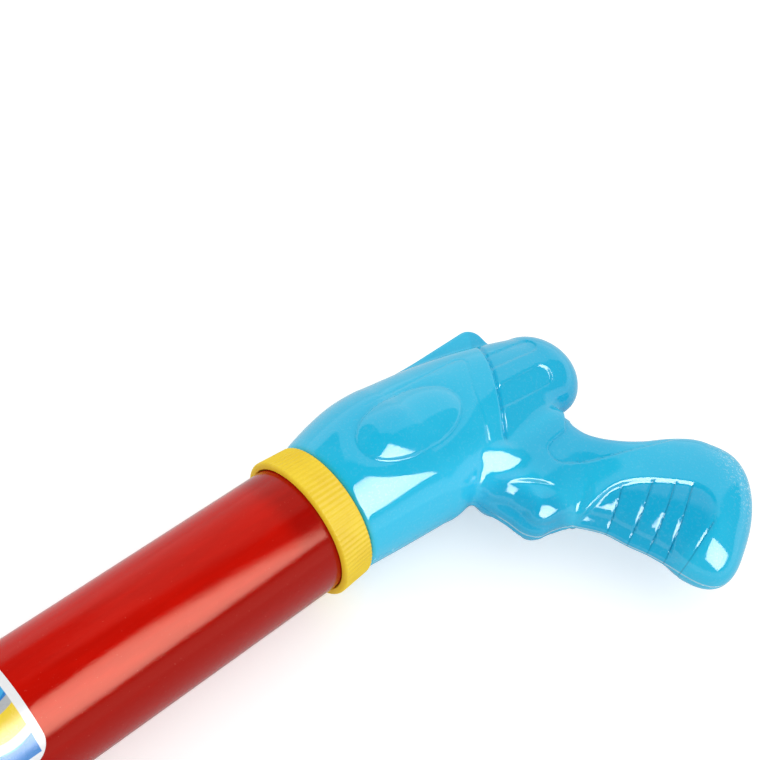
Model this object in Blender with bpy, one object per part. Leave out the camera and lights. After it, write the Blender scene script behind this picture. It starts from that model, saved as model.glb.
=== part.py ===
# A piston water squirter: a red barrel with a knurled collar at each end, a nozzle in front,
# and a plunger whose pistol handle is pulled back to draw water and pushed home to squirt it.
# Modelling axes: x runs along the barrel to the rear, y is up when the toy is held, z is its left side.
# x = 0 is the front face of the rear collar, and the toy lies on its right side, plunger pushed home.

import math

import bmesh
import bpy
from mathutils import Vector

# Clearances
FIT = 0.0003
SEAM_GAP = 0.0003
HANDLE_GAP = 0.0004

# Barrel
TUBE_RADIUS = 0.025
TUBE_WALL = 0.0016
TUBE_EXPOSED_LENGTH = 0.350

# Collars
COLLAR_WIDTH = 0.0134
COLLAR_WALL = 0.00145
COLLAR_END_WALL = 0.0025
COLLAR_LEDGE = 0.0045
COLLAR_TAPER = 0.00109
COLLAR_EDGE = 0.0003
RIM_WIDTH = 0.0026
RIM_PROUD = 0.0001
RIB_COUNT = 84
RIB_HEIGHT = 0.0004
RIB_END_MARGIN = 0.0005

# Rod guide in the rear collar
GUIDE_FLANGE = 0.0023
GUIDE_SKIRT_LENGTH = 0.018
GUIDE_SKIRT_WALL = 0.0022
GUIDE_HUB_LENGTH = 0.028
GUIDE_HUB_WALL = 0.0026
VENT_COUNT = 6
VENT_RADIUS = 0.0022

# Nozzle in the front collar
NOZZLE_FLANGE = 0.0025
NOZZLE_WALL = 0.0022
NOZZLE_CONE_LENGTH = 0.030
NOZZLE_SPOUT_LENGTH = 0.012
NOZZLE_SPOUT_RADIUS = 0.0062
NOZZLE_JET_RADIUS = 0.0022
GASKET_THICKNESS = 0.0015
GASKET_WIDTH = 0.0040

# Plunger
ROD_RADIUS = 0.009
ROD_WALL = 0.0015
ROD_IN_HANDLE = 0.050
PISTON_REST_GAP = 0.003
PISTON_LENGTH = 0.016
PISTON_RUNNING_GAP = 0.0008
SEAL_WIDTH = 0.0042
SEAL_DEPTH = 0.0026
PLUG_FLANGE = 0.003
PLUG_FLANGE_RISE = 0.003
PLUG_SPIGOT = 0.016
PISTON_SCREW_RADIUS = 0.003
PISTON_SCREW_HEAD_RADIUS = 0.006
PISTON_SCREW_HEAD = 0.0032
PISTON_SCREW_REACH = 0.010

# Handle body, from its front face: distance, centre height, half height, half width
BODY_STATIONS = (
    (0.0012, 0.0003, 0.0262, 0.0259),
    (0.0060, 0.0008, 0.0276, 0.0264),
    (0.0260, 0.0016, 0.0305, 0.0279),
    (0.0440, 0.0003, 0.0309, 0.0279),
    (0.0640, 0.0008, 0.0275, 0.0252),
    (0.0830, 0.0008, 0.0233, 0.0208),
    (0.0980, -0.0010, 0.0205, 0.0182),
    (0.1080, -0.0030, 0.0190, 0.0166),
)
BODY_RIM_ROUND = 0.0012
TAIL_LENGTH = 0.0162
TAIL_DROP = 0.0015

# Handle grip, from the handle's front face on the axis: front strap, back strap, half thickness
GRIP_STATIONS = (
    ((0.054, -0.012), (0.092, -0.008), 0.0150),
    ((0.050, -0.0330), (0.1034, -0.0300), 0.0172),
    ((0.0533, -0.0447), (0.1045, -0.0354), 0.0155),
    ((0.0549, -0.0516), (0.1067, -0.0394), 0.0145),
    ((0.0589, -0.0559), (0.1104, -0.0426), 0.0140),
    ((0.0687, -0.0573), (0.1154, -0.0467), 0.0137),
    ((0.0751, -0.0634), (0.1205, -0.0506), 0.0135),
    ((0.0815, -0.0708), (0.1315, -0.0577), 0.0135),
    ((0.0846, -0.0794), (0.1414, -0.0646), 0.0140),
    ((0.0886, -0.0869), (0.1465, -0.0734), 0.0145),
    ((0.0922, -0.0967), (0.1468, -0.0842), 0.0145),
    ((0.0954, -0.1058), (0.1412, -0.0955), 0.0130),
    ((0.1036, -0.1104), (0.1295, -0.1030), 0.0095),
    ((0.1120, -0.1106), (0.1220, -0.1074), 0.0035),
)
GRIP_SQUARENESS = 2.4

# Sight fin on top of the handle
FIN_TOP = 0.0296
FIN_FRONT = 0.048
FIN_REAR = 0.1025
FIN_CORNER = 0.006
FIN_ROOT = 0.008
FIN_THICKNESS = 0.007
FIN_EDGE_ROUND = 0.0012

# Handle shells
SHELL_WALL = 0.002
FRONT_WALL = 0.003
ROD_RIB_START = 0.030
ROD_RIB_THICKNESS = 0.003
PIN_DISTANCE = 0.042
PIN_RADIUS = 0.0025
PIN_HALF_LENGTH = 0.019
PIN_BOSS_WALL = 0.0025
SCREW_PLACES = ((0.018, 0.0195), (0.046, -0.0185), (0.096, 0.003), (0.084, -0.047), (0.119, -0.083))
SCREW_RADIUS = 0.0015
SCREW_HEAD_RADIUS = 0.0030
SCREW_HEAD_HEIGHT = 0.0022
SCREW_SEAT_DEPTH = 0.005
SCREW_REACH = 0.008
SCREW_BOSS_WALL = 0.0016

# Label on the barrel
LABEL_REAR = -0.116
LABEL_LENGTH = 0.118
LABEL_HALF_ANGLE = math.radians(62)
LABEL_CENTRE_ANGLE = math.radians(8)
LABEL_CORNER = 0.008
LABEL_THICKNESS = 0.0003

# Facets
ROUND_STEPS = 40
SMALL_STEPS = 16
BODY_STEPS = 32
GRIP_STEPS = 24
CAVITY_STEPS = 16
SHARP_ANGLE = math.radians(35)

# Places along the barrel that follow from the sizes above
TUBE_BORE = TUBE_RADIUS - TUBE_WALL
COLLAR_BORE = TUBE_RADIUS + FIT
COLLAR_RADIUS = COLLAR_BORE + COLLAR_WALL
COLLAR_OPENING = TUBE_RADIUS - COLLAR_LEDGE
COLLAR_SEAT = COLLAR_WIDTH - COLLAR_END_WALL
FLANGE_RADIUS = COLLAR_BORE - FIT
GUIDE_FLANGE_FRONT = COLLAR_SEAT - FIT - GUIDE_FLANGE
TUBE_REAR = GUIDE_FLANGE_FRONT - FIT
NOZZLE_FLANGE_FRONT = -TUBE_EXPOSED_LENGTH - COLLAR_SEAT + FIT
NOZZLE_FLANGE_REAR = NOZZLE_FLANGE_FRONT + NOZZLE_FLANGE
GASKET_FRONT = NOZZLE_FLANGE_REAR + FIT
TUBE_FRONT = GASKET_FRONT + GASKET_THICKNESS + FIT
PISTON_FRONT = NOZZLE_FLANGE_REAR + PISTON_REST_GAP
PISTON_REAR = PISTON_FRONT + PISTON_LENGTH
PLUG_FRONT = PISTON_REAR + FIT
ROD_FRONT = PLUG_FRONT + PLUG_FLANGE + FIT
HANDLE_FRONT = COLLAR_WIDTH + HANDLE_GAP
ROD_REAR = HANDLE_FRONT + ROD_IN_HANDLE

# How far cutters and keep-outs run past what they meet
BEYOND = 0.05
FAR = 0.5


def clear_scene():
    for old in list(bpy.data.objects):
        bpy.data.objects.remove(old, do_unlink=True)


def plastic(name, colour, roughness, metallic=0.0):
    material = bpy.data.materials.new(name)
    material.use_nodes = True
    shader = material.node_tree.nodes["Principled BSDF"]
    shader.inputs["Base Color"].default_value = (*colour, 1.0)
    shader.inputs["Roughness"].default_value = roughness
    shader.inputs["Metallic"].default_value = metallic
    return material


def build_materials():
    return {
        "red": plastic("red_plastic", (0.52, 0.02, 0.01), 0.35),
        "yellow": plastic("yellow_plastic", (0.88, 0.66, 0.05), 0.45),
        "blue": plastic("blue_plastic", (0.02, 0.46, 0.78), 0.15),
        "white": plastic("white_plastic", (0.80, 0.80, 0.78), 0.40),
        "rubber": plastic("black_rubber", (0.02, 0.02, 0.02), 0.70),
        "steel": plastic("steel", (0.60, 0.60, 0.62), 0.30, 1.0),
        "print": plastic("printed_film", (0.85, 0.86, 0.88), 0.30),
    }


def object_from(name, work):
    bmesh.ops.recalc_face_normals(work, faces=work.faces)
    mesh = bpy.data.meshes.new(name)
    work.to_mesh(mesh)
    work.free()
    piece = bpy.data.objects.new(name, mesh)
    bpy.context.scene.collection.objects.link(piece)
    return piece


def turned(name, profile, steps, axis="X", place=(0.0, 0.0, 0.0)):
    # A closed outline of (distance along the axis, radius) points, spun a full turn about the axis.
    along = Vector((1, 0, 0)) if axis == "X" else Vector((0, 0, 1))
    across = Vector((0, 1, 0)) if axis == "X" else Vector((1, 0, 0))
    work = bmesh.new()
    origin = Vector(place)
    ring = [work.verts.new(origin + along * distance + across * radius) for distance, radius in profile]
    edges = [work.edges.new(pair) for pair in zip(ring, ring[1:] + ring[:1])]
    whole = ring + edges
    bmesh.ops.spin(work, geom=whole, cent=place, axis=along, angle=math.tau, steps=steps, use_merge=True)
    bmesh.ops.remove_doubles(work, verts=work.verts, dist=1e-6)
    return object_from(name, work)


def skinned(name, loops):
    # A closed skin over a row of loops that all have as many points, capped at both ends.
    work = bmesh.new()
    rings = [[work.verts.new(point) for point in loop] for loop in loops]
    for ring, following in zip(rings, rings[1:]):
        for index in range(len(ring)):
            after = (index + 1) % len(ring)
            work.faces.new((ring[index], ring[after], following[after], following[index]))
    work.faces.new(rings[0])
    work.faces.new(rings[-1])
    return object_from(name, work)


def boolean(piece, other, operation):
    modifier = piece.modifiers.new(operation.lower(), "BOOLEAN")
    modifier.operation = operation
    modifier.solver = "EXACT"
    modifier.object = other
    evaluated = piece.evaluated_get(bpy.context.evaluated_depsgraph_get())
    mesh = bpy.data.meshes.new_from_object(evaluated)
    piece.modifiers.clear()
    piece.data = mesh
    bpy.data.objects.remove(other, do_unlink=True)
    return piece


def joined(name, pieces):
    work = bmesh.new()
    for piece in pieces:
        work.from_mesh(piece.data)
        bpy.data.objects.remove(piece, do_unlink=True)
    return object_from(name, work)


def duplicate(piece, name):
    copy = bpy.data.objects.new(name, piece.data.copy())
    bpy.context.scene.collection.objects.link(copy)
    return copy


def finish(piece, material, parent):
    piece.data.materials.clear()
    piece.data.materials.append(material)
    piece.data.shade_smooth()
    piece.data.set_sharp_from_angle(angle=SHARP_ANGLE)
    piece.parent = parent
    return piece


def smooth_between(points, steps):
    # A smooth curve through the points, with a number of steps in each span.
    padded = [points[0], *points, points[-1]]
    curve = []
    for before, start, end, after in zip(padded, padded[1:], padded[2:], padded[3:]):
        for step in range(steps):
            t = step / steps
            point = []
            for p, q, r, s in zip(before, start, end, after):
                square = (2 * p - 5 * q + 4 * r - s) * t ** 2
                cube = (3 * q - p - 3 * r + s) * t ** 3
                point.append((2 * q + (r - p) * t + square + cube) / 2)
            curve.append(tuple(point))
    curve.append(tuple(points[-1]))
    return curve


def oval(centre, reach, half_width, steps, squareness=2.0):
    # A ring round the centre: reach is a vector in the handle's middle plane, half_width runs along z.
    ring = []
    for step in range(steps):
        angle = math.tau * (step + 0.5) / steps
        cosine = math.cos(angle)
        sine = math.sin(angle)
        first = math.copysign(abs(cosine) ** (2.0 / squareness), cosine)
        second = math.copysign(abs(sine) ** (2.0 / squareness), sine)
        ring.append(centre + reach * first + Vector((0, 0, half_width * second)))
    return ring


def sleeve(start, end, inner, outer):
    return [(start, inner), (end, inner), (end, outer), (start, outer)]


def build_barrel_tube():
    return turned("barrel_tube", sleeve(TUBE_FRONT, TUBE_REAR, TUBE_BORE, TUBE_RADIUS), ROUND_STEPS)


def build_label():
    inner = TUBE_RADIUS + FIT
    outer = inner + LABEL_THICKNESS
    columns = 14
    rows = 10
    loops = []
    for column in range(columns + 1):
        along = LABEL_LENGTH * (1 - math.cos(math.pi * column / columns)) / 2
        from_end = min(along, LABEL_LENGTH - along, LABEL_CORNER)
        corner_cut = LABEL_CORNER - math.sqrt(LABEL_CORNER ** 2 - (LABEL_CORNER - from_end) ** 2)
        reach = LABEL_HALF_ANGLE - corner_cut / outer
        angles = [LABEL_CENTRE_ANGLE + reach * (2 * row / rows - 1) for row in range(rows + 1)]
        arc = [(outer, angle) for angle in angles] + [(inner, angle) for angle in reversed(angles)]
        x = LABEL_REAR - along
        loop = [Vector((x, radius * math.sin(angle), radius * math.cos(angle))) for radius, angle in arc]
        loops.append(loop)
    return skinned("label", loops)


def build_collar(name, lip_face, direction):
    # A tapered cap with a knurled band and a plain front rim; direction points from its rim to its end wall.
    rim_rise = RIB_HEIGHT + RIM_PROUD
    rim_front = band_radius(0.0) + rim_rise
    outside = [
        (0.0, 0.0), (0.0, rim_front - COLLAR_EDGE), (COLLAR_EDGE, band_radius(COLLAR_EDGE) + rim_rise),
        (RIM_WIDTH, band_radius(RIM_WIDTH) + rim_rise), (RIM_WIDTH, band_radius(RIM_WIDTH)),
        (COLLAR_WIDTH - RIB_HEIGHT, band_radius(COLLAR_WIDTH - RIB_HEIGHT)),
        (COLLAR_WIDTH, COLLAR_RADIUS - RIB_HEIGHT), (COLLAR_WIDTH, 0.0),
    ]
    inside = [
        (-BEYOND, 0.0), (-BEYOND, COLLAR_BORE), (COLLAR_SEAT, COLLAR_BORE),
        (COLLAR_SEAT, COLLAR_OPENING), (BEYOND, COLLAR_OPENING), (BEYOND, 0.0),
    ]
    outside = [(lip_face + direction * along, radius) for along, radius in outside]
    inside = [(lip_face + direction * along, radius) for along, radius in inside]
    collar = turned(name, outside, ROUND_STEPS)
    ribs = []
    for along in (RIM_WIDTH / 2, COLLAR_WIDTH - RIB_END_MARGIN):
        crest = band_radius(along) + RIB_HEIGHT
        foot = band_radius(along) - RIB_HEIGHT / 2
        star = []
        for step in range(2 * RIB_COUNT):
            radius = crest if step % 2 else foot
            angle = math.pi * step / RIB_COUNT
            place = (lip_face + direction * along, radius * math.cos(angle), radius * math.sin(angle))
            star.append(Vector(place))
        ribs.append(star)
    boolean(collar, skinned("ribs", ribs), "UNION")
    return boolean(collar, turned("bore", inside, ROUND_STEPS), "DIFFERENCE")


def band_radius(along):
    # Outer radius of a collar between its ribs, which falls evenly from its rim to its end wall.
    return COLLAR_RADIUS + COLLAR_TAPER * (1 - along / COLLAR_WIDTH)


def build_rod_guide():
    hub_bore = ROD_RADIUS + FIT
    hub = hub_bore + GUIDE_HUB_WALL
    skirt = TUBE_BORE - FIT
    skirt_bore = skirt - GUIDE_SKIRT_WALL
    flange_rear = GUIDE_FLANGE_FRONT + GUIDE_FLANGE
    profile = [
        (GUIDE_FLANGE_FRONT - GUIDE_HUB_LENGTH, hub_bore),
        (COLLAR_WIDTH - FIT, hub_bore),
        (COLLAR_WIDTH - FIT, hub),
        (flange_rear, hub),
        (flange_rear, FLANGE_RADIUS),
        (GUIDE_FLANGE_FRONT, FLANGE_RADIUS),
        (GUIDE_FLANGE_FRONT, skirt),
        (GUIDE_FLANGE_FRONT - GUIDE_SKIRT_LENGTH, skirt),
        (GUIDE_FLANGE_FRONT - GUIDE_SKIRT_LENGTH, skirt_bore),
        (GUIDE_FLANGE_FRONT, skirt_bore),
        (GUIDE_FLANGE_FRONT, hub),
        (GUIDE_FLANGE_FRONT - GUIDE_HUB_LENGTH, hub),
    ]
    guide = turned("rod_guide", profile, ROUND_STEPS)
    vent_circle = (hub + min(skirt_bore, COLLAR_OPENING)) / 2
    vents = []
    for index in range(VENT_COUNT):
        angle = math.tau * index / VENT_COUNT
        place = (0.0, vent_circle * math.cos(angle), vent_circle * math.sin(angle))
        cut = [(GUIDE_FLANGE_FRONT - FIT, 0.0), (GUIDE_FLANGE_FRONT - FIT, VENT_RADIUS),
               (flange_rear + FIT, VENT_RADIUS), (flange_rear + FIT, 0.0)]
        vents.append(turned("vent", cut, SMALL_STEPS, place=place))
    return boolean(guide, joined("vents", vents), "DIFFERENCE")


def build_nozzle():
    base = COLLAR_OPENING - FIT
    cone_start = NOZZLE_FLANGE_FRONT - COLLAR_END_WALL
    cone_end = cone_start - NOZZLE_CONE_LENGTH
    tip = cone_end - NOZZLE_SPOUT_LENGTH
    spout_bore = NOZZLE_SPOUT_RADIUS - NOZZLE_WALL
    bulge = []
    steps = 6
    for step in range(steps + 1):
        angle = math.pi / 2 * step / steps
        along = cone_start - NOZZLE_CONE_LENGTH * math.sin(angle)
        bulge.append((along, NOZZLE_SPOUT_RADIUS + (base - NOZZLE_SPOUT_RADIUS) * math.cos(angle)))
    hollow = []
    for along, radius in reversed(bulge):
        hollow.append((along + NOZZLE_WALL, max(radius - NOZZLE_WALL, spout_bore)))
    profile = [
        (NOZZLE_FLANGE_REAR, base - NOZZLE_WALL),
        (NOZZLE_FLANGE_REAR, FLANGE_RADIUS),
        (NOZZLE_FLANGE_FRONT, FLANGE_RADIUS),
        (NOZZLE_FLANGE_FRONT, base),
        *bulge,
        (tip + NOZZLE_WALL / 3, NOZZLE_SPOUT_RADIUS),
        (tip, NOZZLE_SPOUT_RADIUS - NOZZLE_WALL / 3),
        (tip, NOZZLE_JET_RADIUS),
        (tip + NOZZLE_WALL, NOZZLE_JET_RADIUS),
        (tip + 2 * NOZZLE_WALL, spout_bore),
        *hollow,
    ]
    return turned("nozzle", profile, ROUND_STEPS)


def build_gasket():
    rear = GASKET_FRONT + GASKET_THICKNESS
    profile = sleeve(GASKET_FRONT, rear, FLANGE_RADIUS - GASKET_WIDTH, FLANGE_RADIUS)
    return turned("nozzle_gasket", profile, ROUND_STEPS)


def build_piston_head():
    radius = TUBE_BORE - PISTON_RUNNING_GAP
    groove = TUBE_BORE - FIT - SEAL_DEPTH - FIT
    middle = (PISTON_FRONT + PISTON_REAR) / 2
    half_groove = SEAL_WIDTH / 2 + FIT
    shank = PISTON_SCREW_RADIUS + FIT
    recess = PISTON_FRONT + PISTON_SCREW_HEAD + 2 * FIT
    recess_radius = PISTON_SCREW_HEAD_RADIUS + FIT
    profile = [
        (recess, shank), (PISTON_REAR, shank), (PISTON_REAR, radius),
        (middle + half_groove, radius), (middle + half_groove, groove),
        (middle - half_groove, groove), (middle - half_groove, radius),
        (PISTON_FRONT, radius), (PISTON_FRONT, recess_radius), (recess, recess_radius),
    ]
    return turned("piston_head", profile, ROUND_STEPS)


def build_piston_seal():
    # A ring with a round outer lip that wipes the bore.
    outer = TUBE_BORE - FIT
    inner = outer - SEAL_DEPTH
    middle = (PISTON_FRONT + PISTON_REAR) / 2
    half = SEAL_WIDTH / 2
    profile = [(middle - half, inner), (middle + half, inner)]
    steps = 4
    for step in range(steps + 1):
        angle = math.pi * step / steps
        profile.append((middle + half * math.cos(angle), outer - half / 2 + half / 2 * math.sin(angle)))
    return turned("piston_seal", profile, ROUND_STEPS)


def build_piston_screw():
    head_front = PISTON_FRONT + FIT
    head_rear = head_front + PISTON_SCREW_HEAD
    end = PLUG_FRONT + PISTON_SCREW_REACH
    profile = [
        (head_front, 0.0), (head_front, PISTON_SCREW_HEAD_RADIUS), (head_rear, PISTON_SCREW_HEAD_RADIUS),
        (head_rear, PISTON_SCREW_RADIUS), (end, PISTON_SCREW_RADIUS), (end, 0.0),
    ]
    return turned("piston_screw", profile, SMALL_STEPS)


def build_rod_plug():
    spigot = ROD_RADIUS - ROD_WALL - FIT
    flange = ROD_RADIUS + PLUG_FLANGE_RISE
    hole = PISTON_SCREW_RADIUS + FIT
    flange_rear = PLUG_FRONT + PLUG_FLANGE
    end = flange_rear + PLUG_SPIGOT
    hole_end = PLUG_FRONT + PISTON_SCREW_REACH + FIT
    profile = [
        (hole_end, 0.0), (hole_end, hole), (PLUG_FRONT, hole), (PLUG_FRONT, flange), (flange_rear, flange),
        (flange_rear, spigot), (end, spigot), (end, 0.0),
    ]
    return turned("rod_plug", profile, SMALL_STEPS * 2)


def build_plunger_rod():
    profile = sleeve(ROD_FRONT, ROD_REAR, ROD_RADIUS - ROD_WALL, ROD_RADIUS)
    rod = turned("plunger_rod", profile, SMALL_STEPS * 2)
    return boolean(rod, pin_solid("pin_hole", FIT), "DIFFERENCE")


def pin_solid(name, grow):
    radius = PIN_RADIUS + grow
    half = PIN_HALF_LENGTH + grow
    profile = [(-half, 0.0), (-half, radius), (half, radius), (half, 0.0)]
    return turned(name, profile, SMALL_STEPS, "Z", handle_point((PIN_DISTANCE, 0.0)))


def screw_solids(grow, head_reach):
    # Pan-head screws driven from the right side; grown and with a deep head they cut their own holes.
    screws = []
    seat = -SCREW_SEAT_DEPTH + grow
    head_top = -SCREW_SEAT_DEPTH - head_reach
    end = SCREW_REACH + grow
    for number, (x, y) in enumerate(SCREW_PLACES, 1):
        profile = [
            (head_top, 0.0), (head_top, SCREW_HEAD_RADIUS + grow), (seat, SCREW_HEAD_RADIUS + grow),
            (seat, SCREW_RADIUS + grow), (end, SCREW_RADIUS + grow), (end, 0.0),
        ]
        screws.append(turned(f"handle_screw_{number}", profile, SMALL_STEPS, "Z", handle_point((x, y))))
    return screws


def handle_point(place):
    return Vector((HANDLE_FRONT + place[0], place[1], 0.0))


def body_solid(name, wall, front, spans, steps):
    # The bulging body and its round tail, drawn in by the wall all over.
    loops = []
    stations = smooth_between(BODY_STATIONS, spans)
    if wall == 0.0:
        x, y, height, width = stations[0]
        stations.insert(0, (0.0, y, height - BODY_RIM_ROUND, width - BODY_RIM_ROUND))
    for x, y, height, width in stations:
        if x >= front:
            loops.append(oval(handle_point((x, y)), Vector((0, height - wall, 0)), width - wall, steps))
    tail_x, tail_y, tail_height, tail_width = BODY_STATIONS[-1]
    tail_steps = 6
    for step in range(1, tail_steps + 1):
        angle = math.pi / 2 * step / (tail_steps + 0.5)
        shrink = math.cos(angle)
        tail = (TAIL_LENGTH - wall) * math.sin(angle)
        centre = handle_point((tail_x + tail, tail_y - TAIL_DROP * math.sin(angle)))
        reach = Vector((0, (tail_height - wall) * shrink, 0))
        loops.append(oval(centre, reach, (tail_width - wall) * shrink, steps))
    return skinned(name, loops)


def grip_solid(name, wall, spans, steps):
    # The raked grip with the moulded trigger on its front strap, drawn in by the wall all over.
    flat = [(*front, *back, half) for front, back, half in GRIP_STATIONS]
    loops = []
    for front_x, front_y, back_x, back_y, half in smooth_between(flat, spans):
        front = handle_point((front_x, front_y))
        back = handle_point((back_x, back_y))
        reach = (back - front) / 2
        if half > 2 * wall:
            inner_reach = reach * (1 - wall / reach.length)
            loops.append(oval((front + back) / 2, inner_reach, half - wall, steps, GRIP_SQUARENESS))
    return skinned(name, loops)


def fin_solid():
    loops = []
    half = FIN_THICKNESS / 2
    flat = half - FIN_EDGE_ROUND
    for z, inset in ((-half, FIN_EDGE_ROUND), (-flat, 0.0), (flat, 0.0), (half, FIN_EDGE_ROUND)):
        top = FIN_TOP - inset
        rear = FIN_REAR - inset
        outline = [(FIN_FRONT, FIN_ROOT), (FIN_FRONT, top)]
        corner_steps = 5
        for step in range(corner_steps + 1):
            angle = math.pi / 2 * (1 - step / corner_steps)
            x = rear - FIN_CORNER * (1 - math.cos(angle))
            outline.append((x, top - FIN_CORNER * (1 - math.sin(angle))))
        outline.append((rear, FIN_ROOT))
        loops.append([handle_point(point) + Vector((0, 0, z)) for point in outline])
    return skinned("fin", loops)


def boss_solids():
    # Posts across the handle round each screw.
    radius = SCREW_HEAD_RADIUS + FIT + SCREW_BOSS_WALL
    profile = [(-BEYOND, 0.0), (-BEYOND, radius), (BEYOND, radius), (BEYOND, 0.0)]
    posts = [turned("post", profile, SMALL_STEPS, "Z", handle_point(place)) for place in SCREW_PLACES]
    return joined("posts", posts)


def pin_boss_solids():
    # Sockets for the ends of the rod pin, clear of the rod.
    radius = PIN_RADIUS + FIT + PIN_BOSS_WALL
    posts = []
    for side in (-1, 1):
        start = side * (ROD_RADIUS + 2 * FIT)
        end = side * BEYOND
        profile = [(start, 0.0), (start, radius), (end, radius), (end, 0.0)]
        posts.append(turned("post", profile, SMALL_STEPS, "Z", handle_point((PIN_DISTANCE, 0.0))))
    return joined("pin_posts", posts)


def box_solid(name, low, high):
    corners = [(low[0], low[1]), (high[0], low[1]), (high[0], high[1]), (low[0], high[1])]
    return skinned(name, [[Vector((x, y, z)) for x, y in corners] for z in (low[2], high[2])])


def rod_rib_solid():
    start = HANDLE_FRONT + ROD_RIB_START
    end = start + ROD_RIB_THICKNESS
    return box_solid("rod_rib", (start, -BEYOND, -BEYOND), (end, BEYOND, BEYOND))


def rod_socket_solid():
    radius = ROD_RADIUS + FIT
    start = HANDLE_FRONT - FIT
    end = ROD_REAR + FIT
    profile = [(start, 0.0), (start, radius), (end, radius), (end, 0.0)]
    return turned("rod_socket", profile, SMALL_STEPS * 2)


def build_handle_shells():
    handle = body_solid("handle_left_shell", 0.0, 0.0, 2, BODY_STEPS)
    boolean(handle, grip_solid("grip", 0.0, 1, GRIP_STEPS), "UNION")
    boolean(handle, fin_solid(), "UNION")
    body_cavity = body_solid("body_cavity", SHELL_WALL, FRONT_WALL, 1, CAVITY_STEPS)
    for keep in (boss_solids(), pin_boss_solids(), rod_rib_solid()):
        boolean(body_cavity, keep, "DIFFERENCE")
    boolean(handle, body_cavity, "DIFFERENCE")
    grip_cavity = grip_solid("grip_cavity", SHELL_WALL, 1, CAVITY_STEPS)
    boolean(grip_cavity, boss_solids(), "DIFFERENCE")
    boolean(handle, grip_cavity, "DIFFERENCE")
    screw_holes = joined("screw_holes", screw_solids(FIT, BEYOND))
    for cut in (rod_socket_solid(), pin_solid("pin_socket", FIT), screw_holes):
        boolean(handle, cut, "DIFFERENCE")
    right = duplicate(handle, "handle_right_shell")
    boolean(handle, box_solid("left_half", (-FAR, -FAR, SEAM_GAP / 2), (FAR, FAR, FAR)), "INTERSECT")
    boolean(right, box_solid("right_half", (-FAR, -FAR, -FAR), (FAR, FAR, -SEAM_GAP / 2)), "INTERSECT")
    return handle, right


def empty(name, place, parent=None):
    holder = bpy.data.objects.new(name, None)
    bpy.context.scene.collection.objects.link(holder)
    holder.location = place
    holder.parent = parent
    return holder


def stand_on_origin(root, pieces):
    # The lowest point rests on z = 0, under the middle of the toy's outline.
    bpy.context.view_layer.update()
    corners = [piece.matrix_world @ vertex.co for piece in pieces for vertex in piece.data.vertices]
    low = [min(corner[axis] for corner in corners) for axis in range(3)]
    high = [max(corner[axis] for corner in corners) for axis in range(3)]
    root.location = (-(low[0] + high[0]) / 2, -(low[1] + high[1]) / 2, -low[2])
    bpy.context.view_layer.update()


def main():
    clear_scene()
    materials = build_materials()
    root = empty("squirter", (0, 0, 0))
    barrel = empty("barrel", (0, 0, 0), root)
    plunger = empty("plunger", (0, 0, 0), root)
    handle = empty("handle", (0, 0, 0), plunger)
    left, right = build_handle_shells()
    pieces = [
        finish(build_barrel_tube(), materials["red"], barrel),
        finish(build_label(), materials["print"], barrel),
        finish(build_collar("rear_collar", 0.0, 1), materials["yellow"], barrel),
        finish(build_collar("front_collar", -TUBE_EXPOSED_LENGTH, -1), materials["yellow"], barrel),
        finish(build_rod_guide(), materials["white"], barrel),
        finish(build_nozzle(), materials["blue"], barrel),
        finish(build_gasket(), materials["rubber"], barrel),
        finish(build_piston_head(), materials["white"], plunger),
        finish(build_piston_seal(), materials["rubber"], plunger),
        finish(build_piston_screw(), materials["steel"], handle),
        finish(build_rod_plug(), materials["white"], handle),
        finish(build_plunger_rod(), materials["white"], handle),
        finish(pin_solid("rod_pin", 0.0), materials["steel"], handle),
        finish(left, materials["blue"], handle),
        finish(right, materials["blue"], handle),
    ]
    pieces += [finish(screw, materials["steel"], handle) for screw in screw_solids(0.0, SCREW_HEAD_HEIGHT)]
    stand_on_origin(root, pieces)


main()
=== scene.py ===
import bmesh
import bpy
import numpy as np
from mathutils import Matrix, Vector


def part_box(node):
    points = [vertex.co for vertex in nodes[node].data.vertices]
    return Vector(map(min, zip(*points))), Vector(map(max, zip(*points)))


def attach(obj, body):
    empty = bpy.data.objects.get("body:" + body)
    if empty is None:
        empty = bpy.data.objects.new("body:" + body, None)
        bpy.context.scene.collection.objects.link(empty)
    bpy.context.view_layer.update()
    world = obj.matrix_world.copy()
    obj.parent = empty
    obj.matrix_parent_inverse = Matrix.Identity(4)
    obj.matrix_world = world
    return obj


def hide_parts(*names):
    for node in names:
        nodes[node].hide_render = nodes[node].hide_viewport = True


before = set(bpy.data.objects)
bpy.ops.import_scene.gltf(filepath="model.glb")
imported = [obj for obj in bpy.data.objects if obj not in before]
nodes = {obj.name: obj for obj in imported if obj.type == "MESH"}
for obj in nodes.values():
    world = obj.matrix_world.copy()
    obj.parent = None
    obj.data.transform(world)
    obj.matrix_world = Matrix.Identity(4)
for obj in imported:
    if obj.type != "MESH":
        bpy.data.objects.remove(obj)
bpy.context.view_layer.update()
collarLow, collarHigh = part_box("rear_collar")
origin = np.array([collarLow.x, (collarLow.y + collarHigh.y) / 2, (collarLow.z + collarHigh.z) / 2])
print("frame loaded, barrel axis at", origin.round(4))


# Meshes

def gridFaces(rows, columns, wrapRows=False, wrapColumns=False):
    # quads between neighbouring points of a grid, in row order
    i, j = np.meshgrid(np.arange(rows - (not wrapRows)), np.arange(columns - (not wrapColumns)), indexing="ij")
    below, beside = (i + 1) % rows, (j + 1) % columns
    corners = [i * columns + j, below * columns + j, below * columns + beside, i * columns + beside]
    return np.stack(corners, -1).reshape(-1, 4)


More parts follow.
